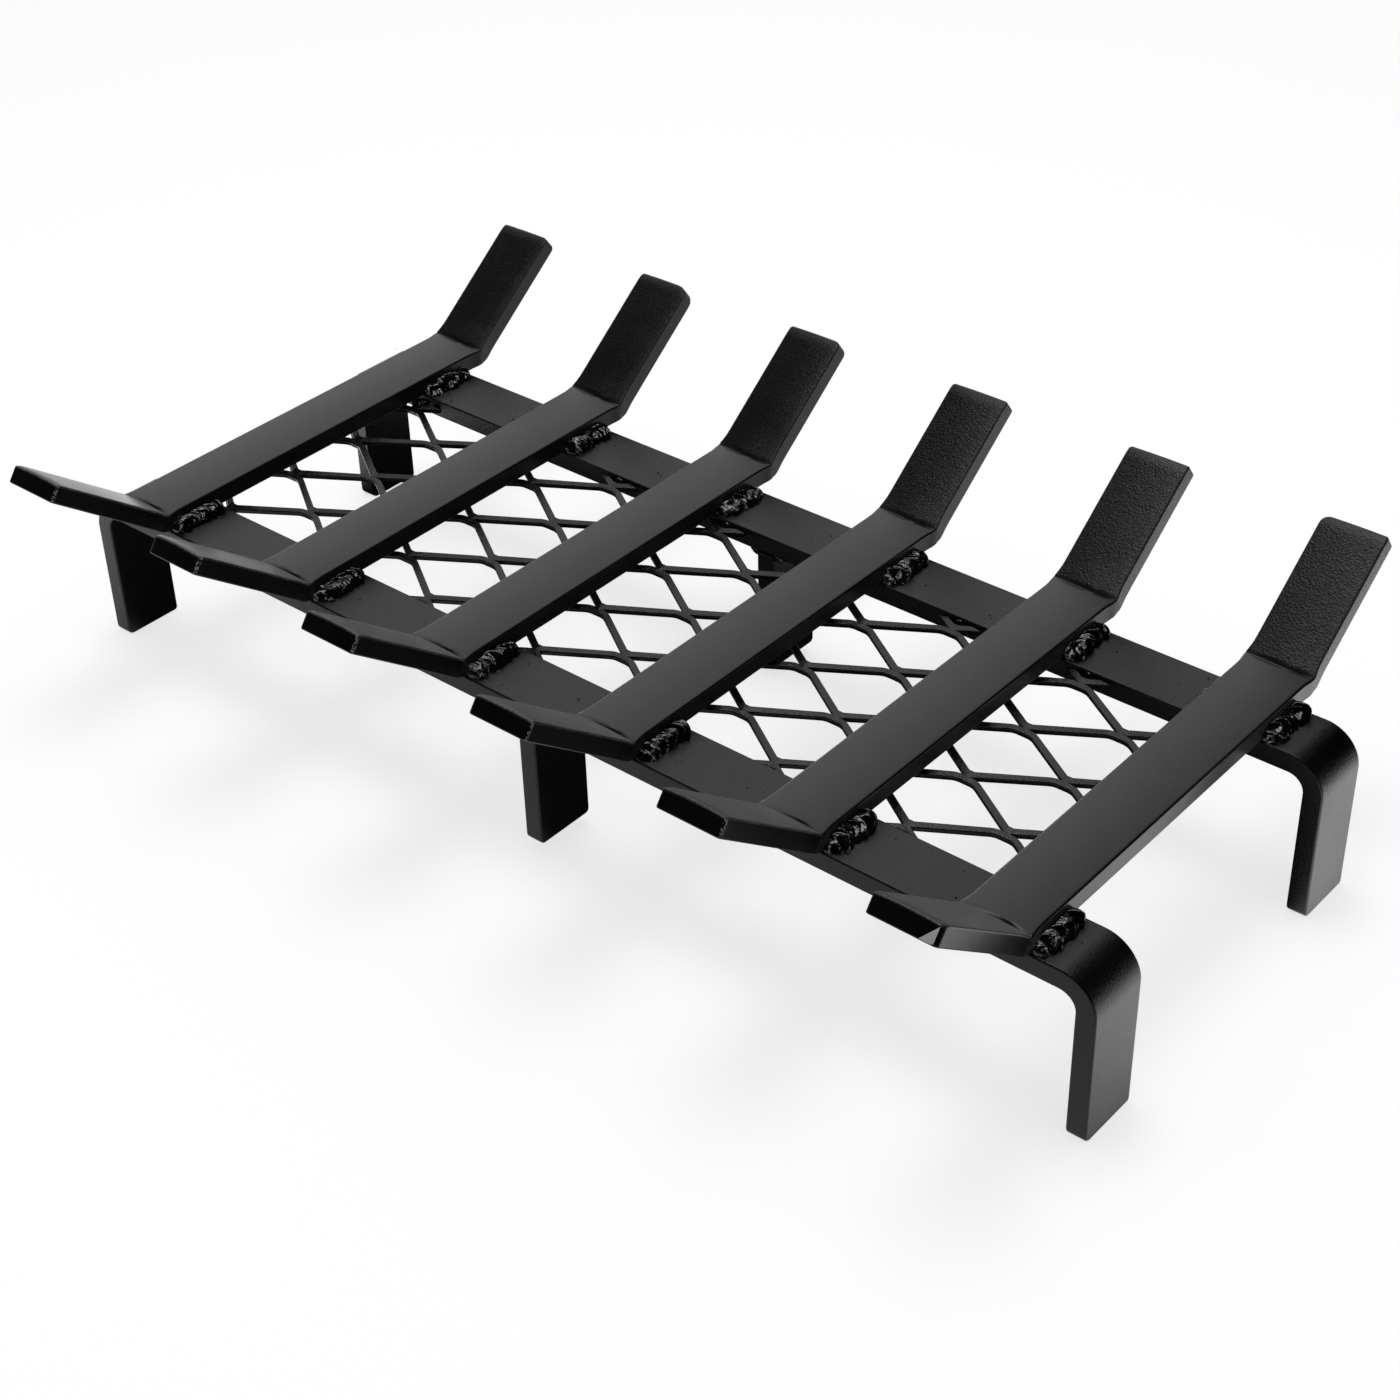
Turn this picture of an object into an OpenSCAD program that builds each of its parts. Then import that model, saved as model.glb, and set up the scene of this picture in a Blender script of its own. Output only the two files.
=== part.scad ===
// Log grate for a fireplace: bent flat bars welded across two rails that turn down
// into legs, with a sheet of raised expanded mesh between the rails to hold embers.
// X runs along the rails, Y from front to back, and Z is up from the floor.
// The origin is on the floor, under the middle of the whole grate.

/* [Rails] */
// Length of each rail over the outer faces of its end legs
rail_span = 700; // [620:2:900]
// Width of the rails' flat stock
rail_w = 38.1; // [30:0.1:50]
// Thickness of the rails' flat stock
rail_t = 11.5; // [9:0.5:16]
// Inner radius of the bend that turns a rail down into a leg
rail_bend_r = 9.5; // [3:0.5:13]
// Distance between the centre lines of the front and the rear rail
rail_spacing = 206; // [170:1:225]
// How far the rails' middle line lies in front of the log bars' middle line
rail_forward = 6.5; // [0:0.5:14]
// Height of the rails' top faces above the floor
rail_top = 96.5; // [70:0.5:160]

/* [Middle legs] */
// Thickness of the middle legs' flat stock
middle_leg_t = 11.5; // [8:0.5:20]
// How far the middle legs stop short of the floor
middle_leg_lift = 7; // [1:0.5:12]
// Sideways place of the rear middle leg
rear_middle_leg_x = -6; // [-40:1:40]

/* [Log bars] */
// Width of the log bars' flat stock
bar_w = 38.1; // [25:0.1:39]
// Thickness of the log bars' flat stock
bar_t = 11.5; // [8:0.5:14]
// Distance from a rail's end to the centre line of the outer log bar
bar_inset = 54; // [54:1:85]
// Sideways shift of the set of log bars along the rails
bar_shift = -2.5; // [-4:0.5:4]
// Length of a log bar's level stretch, from crease to crease on its top
bar_level = 255.5; // [250:0.5:300]
// Length of an upturned end on its top, from the crease to the tip
bar_upturn = 85.5; // [40:0.5:130]
// Slope of the upturned ends
bar_slope = 37.25; // [15:0.25:60]
// Inner radius of the creases
bar_bend_r = 1; // [0.5:0.5:6]

/* [Ember mesh] */
// Number of whole meshes along the rails
mesh_column_count = 7; // [6:1:8]
// Number of whole meshes across the rails
mesh_row_count = 3; // [2:1:4]
// How far the first column of bonds lies inside the left log bar's centre line
mesh_inset_left = 19; // [0:0.25:24]
// How far the last column of bonds lies inside the right log bar's centre line
mesh_inset_right = 0; // [-10:0.25:24]
// Distance from the outer rows of bonds to the rails' inner faces
mesh_rail_gap = 7.5; // [6:0.25:12]
// Width of a strand
strand_w = 4; // [2.4:0.1:4.6]
// Thickness of the sheet that the mesh is slit from
strand_t = 3.4; // [1.6:0.1:4]
// Length of a bond, where two strands stay joined
bond_length = 5.5; // [4:0.5:10]
// Tilt of the raised bonds, with their rear edges up
bond_tilt = 14; // [4:1:24]
// Radius of the curve in which strands run into the front of a bond
strand_curve_r = 8.5; // [5:0.5:15]
// How far the mesh's middle plane lies below the rails' top faces
mesh_drop = 4.5; // [3.4:0.1:7.5]

/* [Welds] */
// Leg length of the fillet welds
weld_leg = 7.5; // [5:0.25:7.75]
// Number of drops in a weld bead
weld_drops = 8; // [6:1:10]
// Radius of a tack weld at the mesh
tack_r = 4; // [2.5:0.25:4]
// Clearance between a tack weld and the bond beside it
tack_gap = 0.2; // [0.1:0.1:0.6]

/* [Hidden] */
$fn = 64;
bar_count = 6;
bar_numbers = [1 : bar_count];
steel_black = [0.2, 0.2, 0.21];
leg_black = [0.16, 0.16, 0.17];
mesh_black = [0.25, 0.25, 0.26];
weld_grey = [0.33, 0.33, 0.34];

// Eased long edges of the rolled stock, and the chords that draw a quarter turn there
edge_r = 1.2;
quarter_steps = 3;
corner_steps = 6;
cut_margin = 1;
bend_thinning = 0.01;
bend_lap = 0.5;

// Rounded foot corners: front and back of the end legs, and both of the middle legs
leg_front_corner_r = 2;
leg_back_corner_r = 4;
middle_corner_r = 3;

// Rounded tip corners of each log bar, sheared and ground by hand:
// front left, front right, rear left, rear right
tip_corner_r = [
    [2, 2, 2, 4],
    [4, 2.5, 2.5, 8],
    [2, 2, 2, 5],
    [2, 1.5, 2, 2],
    [1.5, 2, 2, 1.5],
    [2, 3, 5, 2],
];

front_y = -rail_forward - rail_spacing / 2;
rear_y = -rail_forward + rail_spacing / 2;
rail_under = rail_top - rail_t;
bar_pitch = (rail_span - 2 * bar_inset) / (bar_count - 1);
function bar_x(i) = (i - (bar_count + 1) / 2) * bar_pitch + bar_shift;

// The sheet is stretched to fill the bay between the rails and the outer log bars. Its
// bonds lie in rows and columns half a mesh apart, counted from the front left corner.
function rail_face(toward) = -rail_forward + toward * (rail_spacing - rail_w) / 2;
mesh_left = bar_x(1) + mesh_inset_left;
mesh_right = bar_x(bar_count) - mesh_inset_right;
mesh_front = rail_face(-1) + mesh_rail_gap;
mesh_rear = rail_face(1) - mesh_rail_gap;
mesh_z = rail_top - mesh_drop;
column_last = 2 * mesh_column_count;
row_last = 2 * mesh_row_count;
column_step = (mesh_right - mesh_left) / column_last;
row_step = (mesh_rear - mesh_front) / row_last;

weld_run = rail_w - 2 * edge_r;
// How far a bond reaches from its middle toward a rail, which limits the tack beside it
bond_reach = strand_w * cos(bond_tilt) + strand_t / 2 * sin(bond_tilt);
tack_height = min(tack_r * 0.7, mesh_rail_gap - bond_reach - tack_gap);

// ---- flat stock ----

// Points of a quarter turn of radius r about c, from the given angle
function quarter(c, r, from, steps) =
    [for (k = [0 : steps]) let (a = from + 90 * k / steps) c + r * [cos(a), sin(a)]];

// Outline of flat stock with eased edges, with its inner face on the X axis
module stock_outline(w, t) {
    x = w / 2 - edge_r;
    polygon(concat(
        quarter([x, t - edge_r], edge_r, 0, quarter_steps),
        quarter([-x, t - edge_r], edge_r, 90, quarter_steps),
        quarter([-x, edge_r], edge_r, 180, quarter_steps),
        quarter([x, edge_r], edge_r, 270, quarter_steps)
    ));
}

// A straight length of flat stock along +Y, with its inner face up at z = 0
module stock_run(w, t, length) {
    rotate([-90, 0, 0])
        linear_extrude(length)
            stock_outline(w, t);
}

// A bend of flat stock that leads from +Y upward, round the X axis, which is above it.
// Bending draws the stock a hair thinner, and the bend laps a hair into the run beyond.
module stock_bend(w, t, radius, angle) {
    rotate([0, 90, 0])
        rotate_extrude(angle = angle + bend_lap)
            translate([radius + bend_thinning, 0])
                rotate(-90)
                    stock_outline(w - 2 * bend_thinning, t - 2 * bend_thinning);
}

// Half of a bent strip: a run along +Y, one bend upward and the end beyond it, with the
// left and the right corner of that end rounded
module bent_half(w, t, radius, angle, run, end, corner_left, corner_right) {
    stock_run(w, t, run);
    translate([0, run, radius]) {
        stock_bend(w, t, radius, angle);
        rotate([angle, 0, 0])
            translate([0, 0, -radius])
                difference() {
                    stock_run(w, t, end);
                    translate([w / 2, end, 0])
                        corner_cut(corner_right, t);
                    translate([-w / 2, end, 0])
                        mirror([1, 0, 0])
                            corner_cut(corner_left, t);
                }
    }
}

// What rounding takes off a corner at the origin, whose stock lies toward -X and -Y
module corner_cut(r, t) {
    translate([0, 0, -t - cut_margin])
        linear_extrude(t + 2 * cut_margin)
            polygon(concat(
                quarter([-r, -r], r, 0, corner_steps),
                [[-r, cut_margin], [cut_margin, cut_margin], [cut_margin, -r]]
            ));
}

// ---- rails and legs ----

// Half of a rail with its end leg toward +X, its middle at x = 0 and its feet at z = 0
module rail_half(corner_left, corner_right) {
    translate([0, 0, rail_under])
        rotate([180, 0, -90])
            bent_half(
                rail_w, rail_t, rail_bend_r, 90,
                rail_span / 2 - rail_t - rail_bend_r,
                rail_under - rail_bend_r,
                corner_left, corner_right
            );
}

module rail(y) {
    color(steel_black)
        translate([0, y, 0]) {
            rail_half(leg_back_corner_r, leg_front_corner_r);
            rotate([0, 0, 180])
                rail_half(leg_front_corner_r, leg_back_corner_r);
        }
}

module middle_leg(x, y) {
    length = rail_under - middle_leg_lift;
    color(leg_black)
        translate([x + middle_leg_t / 2, y, rail_under])
            rotate([-90, 0, -90])
                difference() {
                    stock_run(rail_w, middle_leg_t, length);
                    for (side = [0, 1])
                        mirror([side, 0, 0])
                            translate([rail_w / 2, length, 0])
                                corner_cut(middle_corner_r, middle_leg_t);
                }
}

// ---- log bars ----

module log_bar(i) {
    setback = bar_bend_r * tan(bar_slope / 2);
    corners = tip_corner_r[i - 1];
    color(steel_black)
        translate([bar_x(i), 0, rail_top + bar_t])
            for (rear = [false, true])
                rotate([0, 0, rear ? 0 : 180])
                    bent_half(
                        bar_w, bar_t, bar_bend_r, bar_slope,
                        bar_level / 2 - setback, bar_upturn - setback,
                        rear ? corners[2] : corners[1],
                        rear ? corners[3] : corners[0]
                    );
}

// ---- ember mesh ----

// Each strand is a band of the slit sheet. It leaves the rear half of one bond at a sharp
// corner, climbs at an even slope and curves into the front half of the bond in the next
// row, half a mesh to the side. All bands keep the tilt of the raised bonds.
across = [0, cos(bond_tilt), sin(bond_tilt)];
through = [0, -sin(bond_tilt), cos(bond_tilt)];
climb = [0, row_step, 0] - strand_w * across;
climb_length = norm(climb);
strand_advance = column_step - bond_length;
curve_centre = [strand_advance, climb_length - strand_curve_r];
strand_slope = atan2(curve_centre.y, curve_centre.x) + asin(strand_curve_r / norm(curve_centre));
curve_steps = 4;
mitre = strand_w * tan(strand_slope / 2);

// Bonds of one row lie in every other column, and odd rows have one bond less
bonds_per_row = mesh_column_count + 1;
function column_of(row, k) = row % 2 + 2 * k;
function has_bond(column) = column >= 0 && column <= column_last;
function bond_place(row, k) =
    [mesh_left + column_of(row, k) * column_step, mesh_front + row * row_step, mesh_z];

// Corner at an edge of a bond's end: side -1 or 1 in X, edge -1 front, 0 middle, 1 rear,
// and face -1 under or 1 on top
function bond_point(place, side, edge, face) =
    place + [side * (bond_length / 2 - (edge == 1 ? mitre : 0)), 0, 0]
    + edge * strand_w * across + face * strand_t / 2 * through;

// The four corners where a strand's curve has still the given angle to turn
function curve_section(place, side, angle) =
    let (
        x = bond_length / 2 + strand_advance - strand_curve_r * sin(angle),
        rise = climb_length - strand_curve_r * (1 - cos(angle)),
        lower = place + [side * x, 0, 0] + rise / climb_length * climb,
        upper = lower + [-side * strand_w * sin(angle), 0, 0] + strand_w * cos(angle) * across,
        half = strand_t / 2 * through
    )
    [lower - half, lower + half, upper + half, upper - half];

function outer_row(toward) = toward < 0 ? 0 : row_last;

// Where a strand that leaves a bond's end at its slope meets the rail's inner face
function stub_point(place, side, edge, toward, face) =
    let (
        start = bond_point(place, side, edge, face),
        way = (rail_face(toward) - start.y) / (toward * climb.y),
        sideways = climb_length / tan(strand_slope)
    )
    start + way * ([side * sideways, 0, 0] + toward * climb);

// All corners in one list: the bonds', then the strands', then those at the rails
rows = [0 : row_last];
edges = [-1, 0, 1];
faces_below_and_on_top = [-1, 1];
bond_points = [
    for (row = rows, k = [0 : bonds_per_row - 1], side = [-1, 1], edge = edges,
         face = faces_below_and_on_top)
        bond_point(bond_place(row, k), side, edge, face)
];
strand_points = [
    for (row = [0 : row_last - 1], k = [0 : bonds_per_row - 1], side = [-1, 1],
         step = [0 : curve_steps - 1])
        each curve_section(bond_place(row, k), side, strand_slope * (1 - step / curve_steps))
];
stub_points = [
    for (toward = [-1, 1], k = [0 : bonds_per_row - 1], side = [-1, 1],
         edge = [0, toward], face = faces_below_and_on_top)
        stub_point(bond_place(outer_row(toward), k), side, edge, toward, face)
];

// Numbers of those corners, each section as a ring of four
function bond_corner(row, k, side, edge, face) =
    ((row * bonds_per_row + k) * 2 + (side + 1) / 2) * 6
    + (edge + 1) * 2 + (face + 1) / 2;
function half_end(row, k, side, low_edge) = [
    bond_corner(row, k, side, low_edge, -1),
    bond_corner(row, k, side, low_edge, 1),
    bond_corner(row, k, side, low_edge + 1, 1),
    bond_corner(row, k, side, low_edge + 1, -1)
];
function curve_ring(row, k, side, step) =
    let (
        strand = (row * bonds_per_row + k) * 2 + (side + 1) / 2,
        start = len(bond_points) + (strand * curve_steps + step) * 4
    )
    [start, start + 1, start + 2, start + 3];
function stub_ring(toward, k, side) =
    let (
        strand = ((toward + 1) / 2 * bonds_per_row + k) * 2 + (side + 1) / 2,
        start = len(bond_points) + len(strand_points) + strand * 4,
        middle = [start, start + 1],
        outer = [start + 2, start + 3]
    )
    toward > 0
        ? [middle[0], middle[1], outer[1], outer[0]]
        : [outer[0], outer[1], middle[1], middle[0]];

// Faces between two rings, and the flat end of a ring, turned outward for either side
function turned(face, side) = side > 0 ? face : [face[2], face[1], face[0]];
function quad(a, b, c, d, side) = [turned([a, b, c], side), turned([a, c, d], side)];
function skin(from, to, side) = [
    for (e = [0 : 3])
        let (f = (e + 1) % 4)
            each quad(from[e], from[f], to[f], to[e], side)
];
function cap(ring, side) = quad(ring[0], ring[1], ring[2], ring[3], side);

// The strand from a bond's rear half to the front half of the bond beyond it
function strand_faces(row, k, side) =
    let (
        column = column_of(row, k) + side,
        next_k = (column - column_of(row + 1, 0)) / 2,
        rings = concat(
            [half_end(row, k, side, 0)],
            [for (step = [0 : curve_steps - 1]) curve_ring(row, k, side, step)],
            [half_end(row + 1, next_k, -side, -1)]
        )
    )
    [for (r = [0 : len(rings) - 2]) each skin(rings[r], rings[r + 1], side)];

// One half of a bond's end: a strand starts or arrives there, a stub runs on to the
// rail, or the sheet was sheared off
function half_faces(row, k, side, toward) =
    let (
        ring = half_end(row, k, side, toward > 0 ? 0 : -1),
        goes_on = has_bond(column_of(row, k) + side),
        at_rail = row == outer_row(toward),
        stub = stub_ring(toward, k, side)
    )
    !goes_on ? cap(ring, side)
    : at_rail ? concat(skin(ring, stub, side), cap(stub, side))
    : toward > 0 ? strand_faces(row, k, side)
    : [];

function bond_faces(row, k) =
    let (
        left = [for (edge = edges, face = faces_below_and_on_top) bond_corner(row, k, -1, edge, face)],
        right = [for (edge = edges, face = faces_below_and_on_top) bond_corner(row, k, 1, edge, face)]
    )
    concat(
        quad(left[0], left[2], right[2], right[0], -1),
        quad(left[2], left[4], right[4], right[2], -1),
        quad(left[1], left[3], right[3], right[1], 1),
        quad(left[3], left[5], right[5], right[3], 1),
        quad(left[0], left[1], right[1], right[0], 1),
        quad(left[4], left[5], right[5], right[4], -1)
    );

mesh_points = concat(bond_points, strand_points, stub_points);
mesh_faces = [
    for (row = rows, k = [0 : bonds_per_row - 1])
        if (has_bond(column_of(row, k)))
            each concat(
                bond_faces(row, k),
                [for (side = [-1, 1], toward = [-1, 1]) each half_faces(row, k, side, toward)]
            )
];

module ember_mesh() {
    color(mesh_black)
        polyhedron(mesh_points, mesh_faces);
}

// ---- welds ----

// A bead of overlapping drops along Y, in the corner where x > 0 meets z > 0
module bead(length, seed) {
    radii = [
        for (k = [0 : weld_drops - 1])
            let (wave = sin(137 * k + 61 * seed), at_end = k == 0 || k == weld_drops - 1)
                weld_leg * (at_end ? 0.72 : 0.96) * (1 + 0.04 * wave)
    ];
    first = -length / 2 + radii[0];
    last = length / 2 - radii[weld_drops - 1];
    rotate([90, 0, 0])
        rotate_extrude(angle = 90)
            intersection() {
                translate([0, -length])
                    square([2 * weld_leg, 2 * length]);
                union() {
                    for (k = [0 : weld_drops - 1])
                        translate([0, first + (last - first) * k / (weld_drops - 1)])
                            circle(radii[k]);
                }
            }
}

// The beads on both sides of a piece of the given width that stands on a rail
module bead_pair(width, seed) {
    color(weld_grey)
        for (side = [0, 1])
            mirror([side, 0, 0])
                translate([width / 2, 0, 0])
                    bead(weld_run, seed + 7 * side);
}

module bar_weld(i, y) {
    seed = i + (y > 0 ? bar_count : 0);
    translate([bar_x(i), y, rail_top])
        bead_pair(bar_w, seed);
}

module leg_weld(x, y) {
    translate([x, y, rail_under])
        mirror([0, 0, 1])
            bead_pair(middle_leg_t, y > 0 ? 3 : 4);
}

// Tack welds on a rail's inner face, one beside each bond of the row next to it
module mesh_tacks(toward) {
    ball_r = (tack_r * tack_r + tack_height * tack_height) / (2 * tack_height);
    sunk = ball_r - tack_height;
    color(weld_grey)
        for (k = [0 : bonds_per_row - 1])
            translate([bond_place(outer_row(toward), k).x, rail_face(toward), mesh_z])
                rotate([toward * 90, 0, 0])
                    intersection() {
                        translate([0, 0, -sunk])
                            sphere(ball_r);
                        translate([-ball_r, -ball_r, 0])
                            cube(2 * ball_r);
                    }
}

// ---- the pieces ----

rail(front_y);  // front_rail
rail(rear_y);  // rear_rail
middle_leg(0, front_y);  // front_middle_leg
middle_leg(rear_middle_leg_x, rear_y);  // rear_middle_leg
for (i = bar_numbers) {
    log_bar(i);
    bar_weld(i, front_y);
    bar_weld(i, rear_y);
}
ember_mesh();
leg_weld(0, front_y);  // weld_front_middle_leg
leg_weld(rear_middle_leg_x, rear_y);  // weld_rear_middle_leg
mesh_tacks(-1);  // mesh_tacks_front
mesh_tacks(1);  // mesh_tacks_rear
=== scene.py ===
import math
import random

import bmesh
import bpy
from mathutils import Matrix, Vector, noise


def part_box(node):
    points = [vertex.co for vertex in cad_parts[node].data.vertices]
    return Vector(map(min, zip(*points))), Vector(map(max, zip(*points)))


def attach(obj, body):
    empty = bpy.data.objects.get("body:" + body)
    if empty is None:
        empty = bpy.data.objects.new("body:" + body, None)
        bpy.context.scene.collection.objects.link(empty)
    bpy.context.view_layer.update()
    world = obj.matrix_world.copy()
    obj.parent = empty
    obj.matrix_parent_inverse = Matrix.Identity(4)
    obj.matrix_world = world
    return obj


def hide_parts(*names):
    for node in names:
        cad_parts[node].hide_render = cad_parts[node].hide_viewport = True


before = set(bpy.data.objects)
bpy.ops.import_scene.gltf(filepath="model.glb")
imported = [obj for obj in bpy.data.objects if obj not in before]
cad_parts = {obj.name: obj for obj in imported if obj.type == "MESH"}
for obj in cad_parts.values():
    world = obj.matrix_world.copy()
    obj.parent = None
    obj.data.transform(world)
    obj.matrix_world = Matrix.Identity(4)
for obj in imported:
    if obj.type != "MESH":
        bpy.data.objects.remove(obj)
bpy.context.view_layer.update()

mm = 0.001
scene = bpy.context.scene
print("log grate: frame loaded,", len(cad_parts), "nodes")


# the camera, from the photograph's own angle
cameraSettings = {
    "azimuth": 40.98,      # degrees to the right of straight in front
    "elevation": 35.37,
    "roll": -1.65,
    "distance": 1.4331,
    "target": (-0.00044, 0.01096, 0.02201),
    "lens": 64.87,
    "sensor": 36.0,
}


def makeCamera():
    azimuth = math.radians(cameraSettings["azimuth"])
    elevation = math.radians(cameraSettings["elevation"])
    turn = (
        Matrix.Rotation(azimuth, 4, "Z")
        @ Matrix.Rotation(math.pi / 2 - elevation, 4, "X")
        @ Matrix.Rotation(math.radians(cameraSettings["roll"]), 4, "Z")
    )
    back = turn.to_3x3() @ Vector((0, 0, 1))
    data = bpy.data.cameras.new("photo camera")
    data.lens = cameraSettings["lens"]
    data.sensor_width = cameraSettings["sensor"]
    data.dof.use_dof = False
    camera = bpy.data.objects.new("photo camera", data)
    camera.matrix_world = Matrix.Translation(
        Vector(cameraSettings["target"]) + back * cameraSettings["distance"]
    ) @ turn
    scene.collection.objects.link(camera)
    scene.camera = camera


makeCamera()
print("log grate: camera placed")


class NodeBench:
    # adds nodes to one tree and wires them up
    def __init__(self, tree):
        self.tree = tree

    def join(self, value, socket):
        # a wire from another node's output, or else a plain value
        if isinstance(value, bpy.types.NodeSocket):
            self.tree.links.new(value, socket)
        else:
            socket.default_value = value

    def add(self, kind, settings=None, **inputs):
        node = self.tree.nodes.new(kind)
        for name, value in (settings or {}).items():
            setattr(node, name, value)
        for name, value in inputs.items():
            self.join(value, node.inputs[name.replace("_", " ")])
        return node

    def speckle(self, place, **inputs):
        return self.add("ShaderNodeTexNoise", Vector=place, **inputs).outputs["Fac"]

    def mark(self, name, output="Fac"):
        # an attribute that the piece itself carries
        return self.add("ShaderNodeAttribute", {"attribute_name": name}).outputs[output]

    def reckon(self, operation, first, second, clamp=False):
        node = self.add("ShaderNodeMath", {"operation": operation, "use_clamp": clamp})
        self.join(first, node.inputs[0])
        self.join(second, node.inputs[1])
        return node.outputs[0]

    def plus(self, first, second, clamp=False):
        return self.reckon("ADD", first, second, clamp)

    def times(self, first, second, clamp=False):
        return self.reckon("MULTIPLY", first, second, clamp)

    def span(self, value, low, high, toLow=0.0, toHigh=1.0):
        # goes smoothly from toLow to toHigh while the value goes from low to high
        node = self.add("ShaderNodeMapRange", {"interpolation_type": "SMOOTHSTEP"})
        labels = ("Value", "From Min", "From Max", "To Min", "To Max")
        for label, number in zip(labels, (value, low, high, toLow, toHigh)):
            self.join(number, node.inputs[label])
        return node.outputs["Result"]

    def blend(self, factor, first, second):
        node = self.add("ShaderNodeMix", {"data_type": "RGBA"})
        for k, value in ((0, factor), (6, first), (7, second)):
            self.join(value, node.inputs[k])
        return node.outputs[2]


def newGroup(name, inputs, outputs):
    # a shared effect: an input without a number is a place, and every output is a number
    tree = bpy.data.node_groups.new(name, "ShaderNodeTree")
    for label, number in inputs.items():
        kind = "NodeSocketVector" if number is None else "NodeSocketFloat"
        socket = tree.interface.new_socket(name=label, in_out="INPUT", socket_type=kind)
        if number is not None:
            socket.default_value = number
    for label in outputs:
        tree.interface.new_socket(name=label, in_out="OUTPUT", socket_type="NodeSocketFloat")
    given = tree.nodes.new("NodeGroupInput").outputs
    result = tree.nodes.new("NodeGroupOutput").inputs
    return NodeBench(tree), given, result


peelSettings = {
    "dimples": {"Detail": 2.0, "Roughness": 0.55},
    "fine": {"Detail": 2.0}, "finer": 3.1,   # how much finer the grain is than the dimples
    "drift": {"Scale": 14.0, "Detail": 4.0, "Roughness": 0.6},
    "specks": {"Scale": 950.0, "Detail": 1.0}, "speckSpan": (0.62, 0.74),
}


def makeOrangePeel():
    # the skin of sprayed paint: shallow dimples, a finer grain, a slow drift and specks
    bench, given, result = newGroup(
        "orange peel", {"Vector": None, "Dimple": 700.0, "Grain": 0.4},
        ("Height", "Drift", "Specks"),
    )
    place = given["Vector"]
    dimples = bench.speckle(place, Scale=given["Dimple"], **peelSettings["dimples"])
    finer = bench.times(given["Dimple"], peelSettings["finer"])
    fine = bench.speckle(place, Scale=finer, **peelSettings["fine"])
    drift = bench.speckle(place, **peelSettings["drift"])
    specks = bench.speckle(place, **peelSettings["specks"])
    bench.join(bench.plus(dimples, bench.times(fine, given["Grain"])), result["Height"])
    bench.join(drift, result["Drift"])
    bench.join(bench.span(specks, *peelSettings["speckSpan"]), result["Specks"])
    return bench.tree


rubSettings = {
    "patches": {"Scale": 70.0, "Detail": 5.0, "Roughness": 0.65}, "patchShare": 0.6,
    "chips": {"Scale": 420.0, "Detail": 3.0, "Roughness": 0.7}, "chipShare": 0.4,
    "limit": 0.72, "limitDrop": 0.3,   # where rubbing starts, and how far a full rub lowers it
    "blur": 0.08,
}


def makeEdgeRub():
    # where handling has rubbed an eased edge, in patches
    bench, given, result = newGroup(
        "edge rub", {"Vector": None, "Edge": 0.0, "Amount": 0.5}, ("Mask",)
    )
    patches = bench.speckle(given["Vector"], **rubSettings["patches"])
    chips = bench.speckle(given["Vector"], **rubSettings["chips"])
    both = bench.plus(
        bench.times(patches, rubSettings["patchShare"]),
        bench.times(chips, rubSettings["chipShare"]),
    )
    drop = bench.times(given["Amount"], rubSettings["limitDrop"])
    limit = bench.reckon("SUBTRACT", rubSettings["limit"], drop)
    mask = bench.span(both, limit, bench.plus(limit, rubSettings["blur"]))
    bench.join(bench.times(mask, given["Edge"], True), result["Mask"])
    return bench.tree


# where dust and painted light lie on a log bar, and a painted gleam drawn as bare metal, in places
# from markStrip: across from -1 to 1, along from the middle in metres, and down from the top
# face. Each row is from, to, and the values there if they aren't 0 and 1.
dustSettings = {
    "top": (0.14, 0.06),
    "grain": {"Scale": 1500.0, "Detail": 2.0}, "grainShare": 0.8,
    "cloud": {"Scale": 45.0, "Detail": 3.0}, "cloudShare": 0.2,
    "specks": (0.46, 0.6, 0.3, 1.9),
    # the level part: lighter towards its left side, partly dust and partly painted light
    "level": (-1.3, 1.1, 0.9, 0.0),                                       # across
    "rearEnd": (0.1275, 0.130), "frontEnd": (-0.1275, -0.130),            # along
    # the rear end: a lighter right edge, a painted-light slant towards the right, crease and tip,
    # in specks, partly dust and partly painted light
    "rightEdge": (0.62, 0.98), "edgeShare": 1.2,                          # across
    "paintedLightSlant": (-0.6, 1.2), "slantShare": 0.5,                              # across
    "creaseAlong": (0.15, 0.131), "creaseAcross": (-0.5, 0.9, 0.2, 0.9),
    "tipAlong": (0.204, 0.2085), "tipAcross": (-0.95, -0.3, 0.0, 0.45),
    "rightBars": (-0.1, 0.05, 0.6, 1.0),   # from the grate's middle: more on the bars there
    "leftBars": (0.6, 1.0, 0.14, 0.0),     # from that value: what the other bars have more of
    # a painted highlight along the level part's left edge, drawn as bare metal
    "wornAcross": (-0.91, -0.96), "wornAlong": (0.08, -0.09, 0.0, 0.6),
    "wornFlat": (-0.1285, -0.1265),        # along: none on the front end
    # a painted reflection on the front flanges, drawn as bare metal in clouds
    "frontFromMiddle": (0.05, 0.25, 0.26, 0.12), "frontCloud": (0.35, 0.65, 0.6, 1.3),
    "rearGrain": (0.6, 1.0, 0.7, 1.25), "grainElsewhere": 0.2,
}


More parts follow.
